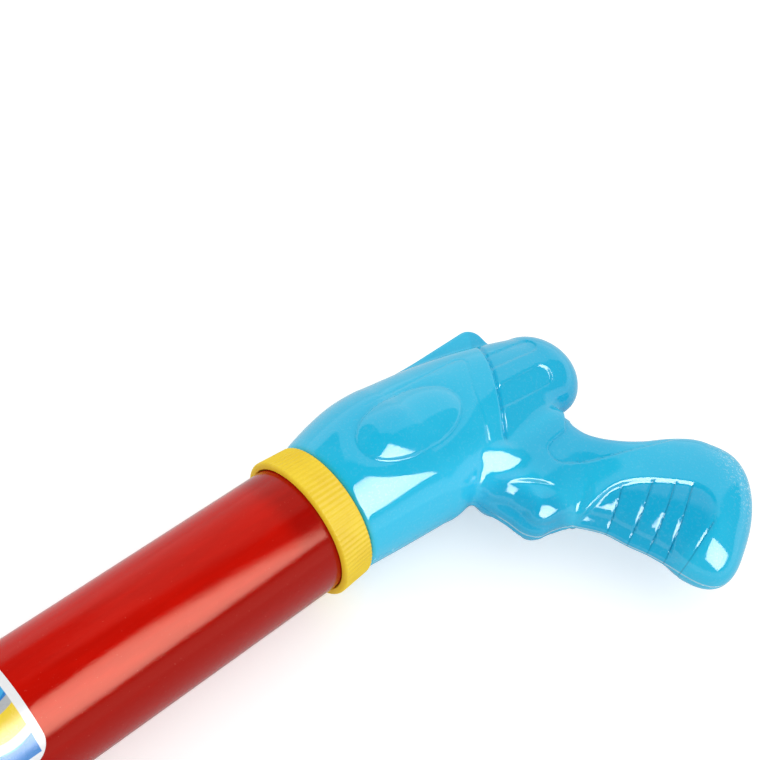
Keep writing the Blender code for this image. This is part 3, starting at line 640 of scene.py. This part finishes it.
def leftShell():
    s = handleShape
    points, quads = fieldSurface(handleField, s["low"], s["high"], s["cell"])
    points = settle(handleField, points, 3)
    work = bmesh.new()
    mesh = newMesh("handleHalf", points + [handleFront, 0, 0], quads)
    work.from_mesh(mesh)
    cutAt = np.array([0, 0, s["seam"] / 2]) * 0.001 + origin
    everything = work.verts[:] + work.edges[:] + work.faces[:]
    bmesh.ops.bisect_plane(work, geom=everything, dist=1e-7, plane_co=cutAt, plane_no=(0, 0, 1), clear_inner=True)
    rim = [e for e in work.edges if e.is_boundary]
    bmesh.ops.holes_fill(work, edges=rim, sides=0)
    bmesh.ops.triangulate(work, faces=[f for f in work.faces if len(f.verts) > 4])
    # a fine bevel along the seam
    ring = list({v for e in rim for v in e.verts})
    places = (np.array([v.co for v in ring]) - origin) * 1000 - [handleFront, 0, 0]
    lean = slopeOf(handleField, places + [0, 0, s["seamLean"]])
    lean[:, 2] = 0
    lean /= np.maximum(np.linalg.norm(lean, axis=1, keepdims=True), 1e-6)
    for vertex, shift in zip(ring, lean * s["seamBevel"] * 0.001):
        vertex.co -= type(vertex.co)(shift)
    bmesh.ops.recalc_face_normals(work, faces=work.faces)
    work.to_mesh(mesh)
    work.free()
    return mesh


def mirrored(mesh, name):
    other = mesh.copy()
    other.name = name
    co = np.empty(len(mesh.vertices) * 3, np.float32)
    mesh.vertices.foreach_get("co", co)
    co[2::3] = 2 * origin[2] - co[2::3]
    other.vertices.foreach_set("co", co)
    other.flip_normals()
    return other


screwShape = dict(
    places=[(18, 19.5), (46, -18.5), (96, 3), (84, -47), (119, -83)], seat=5.0, seatGap=0.3, head=3.0, headHeight=2.2,
    headRound=1.1, flatShare=0.86, shank=1.5, reach=8.0, turns=72, cross=(0.42, 1.75, 1.1), crossWall=0.1, crossEnd=0.3,
    well=3.3, wellReach=60.0, wellTurns=48,
)


def screwWells():
    # straight cylinders from the seats out through the right side
    s, turns = screwShape, screwShape["wellTurns"]
    angle = np.linspace(0, 2 * np.pi, turns, endpoint=False)
    seat = -s["seat"] + s["seatGap"]
    profile = [(-s["wellReach"], 0), (-s["wellReach"], 1), (seat, 1), (seat, 0)]
    points, faces = [], []
    for x, y in s["places"]:
        rings = [np.stack([x + handleFront + r * s["well"] * np.cos(angle), y + r * s["well"] * np.sin(angle),
                           0 * angle + z], -1) for z, r in profile]
        faces.append(gridFaces(len(profile), turns, False, True) + len(points) * len(profile) * turns)
        points.append(np.array(rings).reshape(-1, 3))
    return weld(newMesh("screwWells", np.vstack(points), np.vstack(faces)))


def drilled(mesh, cutter):
    # the mesh less the cutter
    pair = [bpy.data.objects.new(name, data) for name, data in (("drilledShell", mesh), ("drill", cutter))]
    for thing in pair:
        bpy.context.scene.collection.objects.link(thing)
    tool = pair[0].modifiers.new("wells", "BOOLEAN")
    tool.operation, tool.solver, tool.object = "DIFFERENCE", "EXACT", pair[1]
    graph = bpy.context.evaluated_depsgraph_get()
    result = bpy.data.meshes.new_from_object(pair[0].evaluated_get(graph))
    for thing in pair:
        bpy.data.objects.remove(thing)
    return result


# places given painted shade, as in hollows and faces turned from the light: how much, and where it fades in
paintedShadePlaces = dict(
    pad=dict(share=0.65, inside=(-3.0, 4.0), bottom=(-103, -92)),
    dome=dict(share=0.3, behind=(0.0, 1.0), bottom=(-25, -18)),
    trigger=dict(share=0.7, strap=(14, 6), top=(28, 38), bottom=(68, 60), rear=(74, 66)),
    neck=dict(share=0.35, front=(66, 76), top=(20, 30), bottom=(56, 44)),
)


def markPaintedShade(mesh):
    # a point attribute that paints shade: the finger rest, the dome, the sides of the trigger and the neck
    co = np.empty(len(mesh.vertices) * 3, np.float32)
    mesh.vertices.foreach_get("co", co)
    x, y, _ = ((co.reshape(-1, 3) - origin) * 1000 - [handleFront, 0, 0]).T
    pad, dome, trigger, neck = (paintedShadePlaces[key] for key in ("pad", "dome", "trigger", "neck"))
    inPad = stepUp(sideOf(padEdge, x, y), *pad["inside"]) * stepUp(y, *pad["bottom"])
    edge = handleMarks["domeEdge"]
    onDome = stepUp(x - edge["at"] - edge["lean"] * y, *dome["behind"]) * stepUp(y, *dome["bottom"])
    byTrigger = stepUp(-sideOf(frontLine, x, y), *trigger["strap"]) * stepUp(x, *trigger["rear"])
    byTrigger = byTrigger * stepUp(-y, *trigger["top"]) * stepUp(-y, *trigger["bottom"])
    onNeck = stepUp(x, *neck["front"]) * stepUp(-y, *neck["top"]) * stepUp(-y, *neck["bottom"])
    shares = (inPad * pad["share"], onDome * dome["share"], byTrigger * trigger["share"], onNeck * neck["share"])
    values = np.max(shares, axis=0).astype(np.float32)
    mesh.attributes.new("hollow", "FLOAT", "POINT").data.foreach_set("value", values)


left = leftShell()
right = drilled(mirrored(left, "handleHalfRight"), screwWells())
right.materials.clear()
markPaintedShade(left)
markPaintedShade(right)
piece("handleLeft", left, finishes["blue"], "handle", "handle_left_shell", sharp=55)
piece("handleRight", right, finishes["blue"], "handle", "handle_right_shell", sharp=55)
print("handle shells made,", len(left.polygons), "and", len(right.polygons), "faces")


# Screws: turned outline along z with a cross recess pressed into the head

def screwMesh(number, x, y):
    s = screwShape
    top = -s["seat"] - s["headHeight"]
    flat = s["flatShare"]
    rows = [(top, r) for r in np.linspace(0, flat, 26)[:-1] * s["head"]]
    rows += [(top + s["headRound"] * (1 - np.cos(a)), s["head"] * (flat + (1 - flat) * np.sin(a)))
             for a in np.linspace(0, np.pi / 2, 6)]
    rows += [(-s["seat"], s["head"]), (-s["seat"], s["shank"]), (s["reach"], s["shank"]), (s["reach"], 0)]
    z, r = np.array(rows).T[:, :, None]
    # each screw is turned to its own angle, and so is its cross
    angle = np.linspace(0, 2 * np.pi, s["turns"], endpoint=False)[None, :]
    arm, length, depth = s["cross"]
    u, v = np.abs(r * np.cos(angle)), np.abs(r * np.sin(angle))

    def bar(thin, long):
        return stepUp(thin, arm + s["crossWall"], arm - s["crossWall"]) * stepUp(long, length, length - s["crossEnd"])

    onTop = z < top + s["crossWall"] / 2
    sunk = z + depth * np.maximum(bar(u, v), bar(v, u)) * onTop
    angle = angle + number
    grid = np.stack([x + handleFront + r * np.cos(angle), y + r * np.sin(angle), sunk], -1)
    return weld(newMesh("handleScrew%d" % number, grid.reshape(-1, 3), gridFaces(*grid.shape[:2], False, True)))


for number, (x, y) in enumerate(screwShape["places"], 1):
    mesh = screwMesh(number, x, y)
    piece(mesh.name, mesh, finishes["steel"], "handle", "handle_screw_%d" % number)
print("screws made")


# Barrel

def span(node):
    # ends along x and outer radius of a turned node
    low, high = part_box(node)
    return (low.x - origin[0]) * 1000, (high.x - origin[0]) * 1000, (high.y - low.y) * 500


tubeShape = dict(wall=1.6, edge=0.35, turns=192)
tubeFront, tubeRear, tubeRadius = span("barrel_tube")
bore = tubeRadius - tubeShape["wall"]
corners = [(tubeFront, tubeRadius), (tubeRear, tubeRadius), (tubeRear, bore), (tubeFront, bore)]
tube = spunMesh("barrel", softCorners(corners, tubeShape["edge"]), tubeShape["turns"])
piece("barrel", tube, finishes["red"], "barrel", "barrel_tube")

collarShape = dict(
    width=13.4, radius=26.75, taper=1.06, shoulder=0.9, bore=25.3, opening=20.5, endWall=2.5, corner=0.6, chamfer=0.4,
    lip=0.15, bandFrom=0.4, bandTo=0.9, ribs=84, ribHeight=0.3, ribPower=1.2, ribSteps=10, ribStart=(-0.3, 1.7),
    ribEnd=(0.1, -0.5), ribFoot=(0.2, 1.4),
)


def collarMesh(name, lipFace, way):
    # outline of a cap with a quarter-ellipse shoulder that narrows a little to its end;
    # ribs swell the band by a cosine of the angle
    c, width = collarShape, collarShape["width"]
    a = np.linspace(0, np.pi / 2, 12)
    drop = c["radius"] + c["taper"] - c["bore"] - c["lip"]
    front = np.stack([c["shoulder"] * (1 - np.cos(a)), -drop * (1 - np.sin(a))], -1)
    a = np.linspace(0, np.pi / 2, 6)
    back = np.stack([width - c["corner"] * (1 - np.sin(a)), -c["corner"] * (1 - np.cos(a))], -1)
    band = np.stack([np.linspace(c["shoulder"] + c["bandFrom"], width - c["bandTo"], 24), np.zeros(24)], -1)
    outer = np.vstack([front, band, back])
    outer[:, 1] += c["radius"] + c["taper"] * (1 - outer[:, 0] / width)
    seat = width - c["endWall"]
    inner = [(width, c["opening"] + c["chamfer"]), (width - c["chamfer"], c["opening"]), (seat, c["opening"]),
             (seat, c["bore"]), (c["lip"], c["bore"])]
    outline = np.vstack([outer, inner])

    def ribs(x, r, angle):
        along = (x - lipFace) * way
        valley = (1 - (0.5 + 0.5 * np.cos(c["ribs"] * angle)) ** c["ribPower"]) * stepUp(along, *c["ribStart"])
        proud = stepUp(r - c["bore"], *c["ribFoot"]) * stepUp(along - width, *c["ribEnd"])
        return c["ribHeight"] * (1 - valley) * proud

    outline[:, 0] = lipFace + way * outline[:, 0]
    return spunMesh(name, outline, c["ribs"] * c["ribSteps"], ribs)


for name, node, lipFace, way in (("rearCollar", "rear_collar", 0.0, 1),
                                 ("frontCollar", "front_collar", span("front_collar")[1], -1)):
    piece(name, collarMesh(name, lipFace, way), finishes["yellow"], "barrel", node, sharp=50)
print("barrel and collars made")


# Nozzle: a bulged cone with a straight spout

nozzleShape = dict(
    flange=2.5, base=20.2, wall=2.2, cone=30.0, spoutRadius=6.2, spoutRound=1.2, jet=2.2, jetEdge=0.3, turns=128,
)


def nozzleOutline():
    n, wall, spout = nozzleShape, nozzleShape["wall"], nozzleShape["spoutRadius"]
    tip, rear, flangeRadius = span("nozzle")
    flangeFront = rear - n["flange"]
    a = np.linspace(0, np.pi / 2, 24)
    along = flangeFront - collarShape["endWall"] - n["cone"] * np.sin(a)
    bulge = np.stack([along, spout + (n["base"] - spout) * np.cos(a)], -1)
    inside = np.stack([along + wall, np.maximum(bulge[:, 1] - wall, spout - wall)], -1)[::-1]
    a = np.linspace(0, np.pi / 2, 6)
    lip = np.stack([tip + n["spoutRound"] * (1 - np.sin(a)), spout - n["spoutRound"] * (1 - np.cos(a))], -1)
    jet = [(tip, n["jet"] + n["jetEdge"]), (tip + n["jetEdge"], n["jet"]), (tip + wall, n["jet"]),
           (tip + 2 * wall, spout - wall)]
    start = [(rear, n["base"] - wall), (rear, flangeRadius), (flangeFront, flangeRadius), (flangeFront, n["base"])]
    return np.vstack([start, bulge, lip, jet, inside])


cone = spunMesh("nozzleCone", nozzleOutline(), nozzleShape["turns"])
piece("nozzleCone", cone, finishes["blue"], "barrel", "nozzle")


# Rod and the unseen inner pieces

rodShape = dict(wall=1.5, edge=0.3, turns=96)
rodFront, rodRear, rodRadius = span("plunger_rod")
bore = rodRadius - rodShape["wall"]
corners = [(rodFront, rodRadius), (rodRear, rodRadius), (rodRear, bore), (rodFront, bore)]
rod = spunMesh("plungerRod", softCorners(corners, rodShape["edge"]), rodShape["turns"])
piece("plungerRod", rod, finishes["white"], "handle", "plunger_rod")
innerFinish = dict(
    rod_guide="white", piston_head="white", rod_plug="white", nozzle_gasket="rubber", piston_seal="rubber",
    piston_screw="steel", rod_pin="steel",
)
for name, key in innerFinish.items():
    nodes[name].data.materials.clear()
    nodes[name].data.materials.append(finishes[key])
print("nozzle, rod and inner pieces made")


# Label: a sheet bent round the tube, with rounded corners

labelShape = dict(
    rear=-116.0, length=118.0, half=np.radians(62), centre=np.radians(8), corner=8.0, thick=0.3, gap=0.05,
    rows=90, columns=120,
)
labelInk = dict(
    paper=rgb(0.86, 0.87, 0.88), deep=rgb(0.02, 0.22, 0.62), shallow=rgb(0.05, 0.42, 0.80), grey=rgb(0.46, 0.48, 0.50),
    yellow=rgb(0.90, 0.66, 0.03), border=(3.15, 2.85), swell=(0.16, 4.0), wave=0.42, waveEdge=(-0.15, 0.15),
    bandAt=9.0, bandSwell=0.6, greyHalf=(7.2, 6.8), yellowHalf=(4.2, 3.8), rough=(0.3, 0.7, 0.22, 0.32),
)


def labelPrint(coordinates):
    # millimetres from the label's rear edge and round from its middle
    ink, reach = labelInk, labelShape["half"] * tubeRadius
    u, v, _ = coordinates.node("UVMap", {"uv_map": "UVMap"}).axes()
    along, around = u * labelShape["length"], (v - 0.5) * (2 * reach)
    fromEdge = u.math("MINIMUM", along, labelShape["length"] - along)
    fromEdge = u.math("MINIMUM", fromEdge, reach - u.math("ABSOLUTE", around))
    swell = u.math("SINE", along * ink["swell"][0]) * ink["swell"][1]
    wave = u.math("SINE", (around + swell) * ink["wave"])
    sea = wave.ramp(*ink["waveEdge"]).mix(ink["deep"], ink["shallow"])
    band = u.math("ABSOLUTE", around + swell * ink["bandSwell"] + ink["bandAt"])
    design = band.ramp(*ink["greyHalf"]).mix(sea, ink["grey"])
    design = band.ramp(*ink["yellowHalf"]).mix(design, ink["yellow"])
    base = fromEdge.ramp(*ink["border"]).mix(design, ink["paper"])
    return {"Base Color": base, "Roughness": local(coordinates).noise(0.3, 3.0).ramp(*ink["rough"])}


def labelMesh():
    # rows along x; each row is a closed loop over the outside of the sheet and back under it
    s, rows, columns = labelShape, labelShape["rows"], labelShape["columns"]
    along = s["length"] * (1 - np.cos(np.linspace(0, np.pi, rows))) / 2
    fromEnd = np.minimum(np.minimum(along, s["length"] - along), s["corner"])
    cut = s["corner"] - np.sqrt(s["corner"] ** 2 - (s["corner"] - fromEnd) ** 2)
    reach = s["half"] - cut / tubeRadius
    share = np.linspace(-1, 1, columns)
    share = np.concatenate([share, share[::-1]])[None, :]
    angle = s["centre"] + reach[:, None] * share
    row = np.arange(rows)[:, None]
    outer = np.repeat([True, False], columns)[None, :] & (row > 0) & (row < rows - 1)
    r = tubeRadius + s["gap"] + s["thick"] * outer
    x = s["rear"] - along[:, None] + 0 * angle
    grid = np.stack([x, r * np.sin(angle), r * np.cos(angle)], -1)
    mesh = newMesh("labelFilm", grid.reshape(-1, 3), gridFaces(rows, 2 * columns, False, True))
    around = 0.5 + 0.5 * (angle - s["centre"]) / s["half"]
    flat = np.stack([along[:, None] / s["length"] + 0 * angle, around], -1).reshape(-1, 2)
    corner = np.empty(len(mesh.loops), np.int32)
    mesh.loops.foreach_get("vertex_index", corner)
    mesh.uv_layers.new(name="UVMap").data.foreach_set("uv", flat[corner].ravel())
    return weld(mesh)


piece("labelFilm", labelMesh(), finish("labelPrint", labelPrint, IOR=1.48), "barrel", "label")
print("label made")


# Stage: pale floor, soft box, camera

stage = dict(
    floor=rgb(0.84, 0.84, 0.84), floorHalf=6, floorLevel=-0.0005, glow=0.42, ambient=0.93, lean=(0.0, -0.06, 0.10),
    box=dict(azimuth=-60.0, elevation=50.0, distance=1.1, aside=(-0.40, 0.045), width=1.04, height=0.935,
             aim=(40, -10, 10), power=50.0, fall=0.9),
    # what the gloss sees: walls that are highest towards one side, and the ceiling
    room=dict(side=(0.82, 0.57), wallTop=(0.76, 0.90, 0.30, 0.86), wallEdge=(0.0, 0.06, 1.0, 0.0), wall=1.25,
              wallFall=0.4, ceiling=(0.75, 0.92, 0.22, 0.02)),
)


def floorFinish():
    # pale matt floor that shows white to the camera and keeps a soft shadow
    material = bpy.data.materials.new("floorPale")
    material.use_nodes = True
    tree = material.node_tree
    start = Wire(tree)
    seen = start.node("LightPath", None, None, "Is Camera Ray")
    matt = start.node("BsdfDiffuse", None, {"Color": stage["floor"]})
    glow = start.node("Emission", None, {"Color": rgb(1, 1, 1), "Strength": seen * stage["glow"]})
    total = start.node("AddShader", None, {0: matt, 1: glow})
    tree.links.new(total.socket, tree.nodes["Material Output"].inputs["Surface"])
    return material


floorMesh = bpy.data.meshes.new("floor")
half, level = stage["floorHalf"], stage["floorLevel"]
corners = [(-half, -half, level), (half, -half, level), (half, half, level), (-half, half, level)]
floorMesh.from_pydata(corners, [], [(0, 1, 2, 3)])
floor = bpy.data.objects.new("floor", floorMesh)
floorMesh.materials.append(floorFinish())
bpy.context.scene.collection.objects.link(floor)

world = bpy.data.worlds.new("studio")
world.use_nodes = True
bpy.context.scene.world = world
tree = world.node_tree
start = Wire(tree)
toX, toY, toZ = start.node("TexCoord", None, None, "Generated").axes()
# white walls all round, highest to the rear right, under a dark ceiling
room = stage["room"]
flat = start.math("SQRT", toX * toX + toY * toY)
wallTop = ((toX * room["side"][0] + toY * room["side"][1]) / flat).ramp(*room["wallTop"])
inWall = (toZ - wallTop).ramp(*room["wallEdge"])
shown = inWall * (room["wall"] - toZ * room["wallFall"]) + (1 - inWall) * toZ.ramp(*room["ceiling"])
path = start.node("LightPath").socket.node.outputs
camera, glossy, transmission = (Wire(tree, path["Is %s Ray" % kind]) for kind in ("Camera", "Glossy", "Transmission"))
mirror = start.math("MAXIMUM", glossy, transmission)
lean = stage["lean"]
around = (toX * lean[0] + toY * lean[1] + toZ * lean[2] + 1.0) * stage["ambient"]
strength = camera + (1 - camera) * (mirror * shown + (1 - mirror) * around)
tree.links.new(strength.socket, tree.nodes["Background"].inputs["Strength"])
tree.nodes["Background"].inputs["Color"].default_value = rgb(1, 1, 1)


def direction(azimuth, elevation):
    a, e = np.radians([azimuth, elevation])
    return np.array([np.cos(e) * np.cos(a), np.cos(e) * np.sin(a), np.sin(e)])


def softBox(name, box):
    # a rectangle that faces along its direction, moved aside in its plane, brightest in its middle
    lamp = bpy.data.lights.new(name, "AREA")
    lamp.shape, lamp.size, lamp.size_y, lamp.energy = "RECTANGLE", box["width"], box["height"], box["power"]
    lamp.use_nodes = True
    u, v, _ = Wire(lamp.node_tree).node("NewGeometry", None, None, "Parametric").axes()
    u, v = u - 0.5, v - 0.5
    glow = (u * u + v * v) * -box["fall"] + 1.0
    lamp.node_tree.links.new(glow.socket, lamp.node_tree.nodes["Emission"].inputs["Strength"])
    made = bpy.data.objects.new(name, lamp)
    toward = direction(box["azimuth"], box["elevation"])
    side = np.cross([0, 0, 1], toward)
    side /= np.linalg.norm(side)
    up = np.cross(toward, side)
    moved = box["distance"] * toward + box["aside"][0] * side + box["aside"][1] * up
    place = np.array(box["aim"]) * 0.001 + moved + origin
    made.matrix_world = Matrix(np.vstack([np.column_stack([side, up, toward, place]), [0, 0, 0, 1]]).tolist())
    # it shows in the gloss only; the room lights the object evenly
    made.visible_diffuse = False
    bpy.context.scene.collection.objects.link(made)


softBox("softBox", stage["box"])


# solved from the photograph: two turns of the view and its roll in degrees, focal length and frame in pixels, place
view = dict(
    tau=28.34, phi=22.0, roll=17.17, focal=1345.36, frame=760, sensor=36.0, clip=(0.01, 50.0),
    place=(-184.34, -143.91, 435.61),
)


def photoCamera():
    tau, phi, roll = np.radians([view["tau"], view["phi"], view["roll"]])
    back = np.array([-np.sin(tau), -np.cos(tau) * np.sin(phi), np.cos(tau) * np.cos(phi)])
    right = np.cross(-back, [0, 0, 1])
    right /= np.linalg.norm(right)
    up = np.cross(back, right)
    right, up = right * np.cos(roll) + up * np.sin(roll), up * np.cos(roll) - right * np.sin(roll)
    data = bpy.data.cameras.new("photoCamera")
    data.sensor_width, data.lens = view["sensor"], view["sensor"] * view["focal"] / view["frame"]
    data.clip_start, data.clip_end = view["clip"]
    made = bpy.data.objects.new("photoCamera", data)
    place = np.array(view["place"]) * 0.001 + origin
    made.matrix_world = Matrix(np.vstack([np.column_stack([right, up, back, place]), [0, 0, 0, 1]]).tolist())
    bpy.context.scene.collection.objects.link(made)
    bpy.context.scene.camera = made


photoCamera()
bpy.context.scene.view_settings.view_transform = "Standard"
print("stage and camera set")
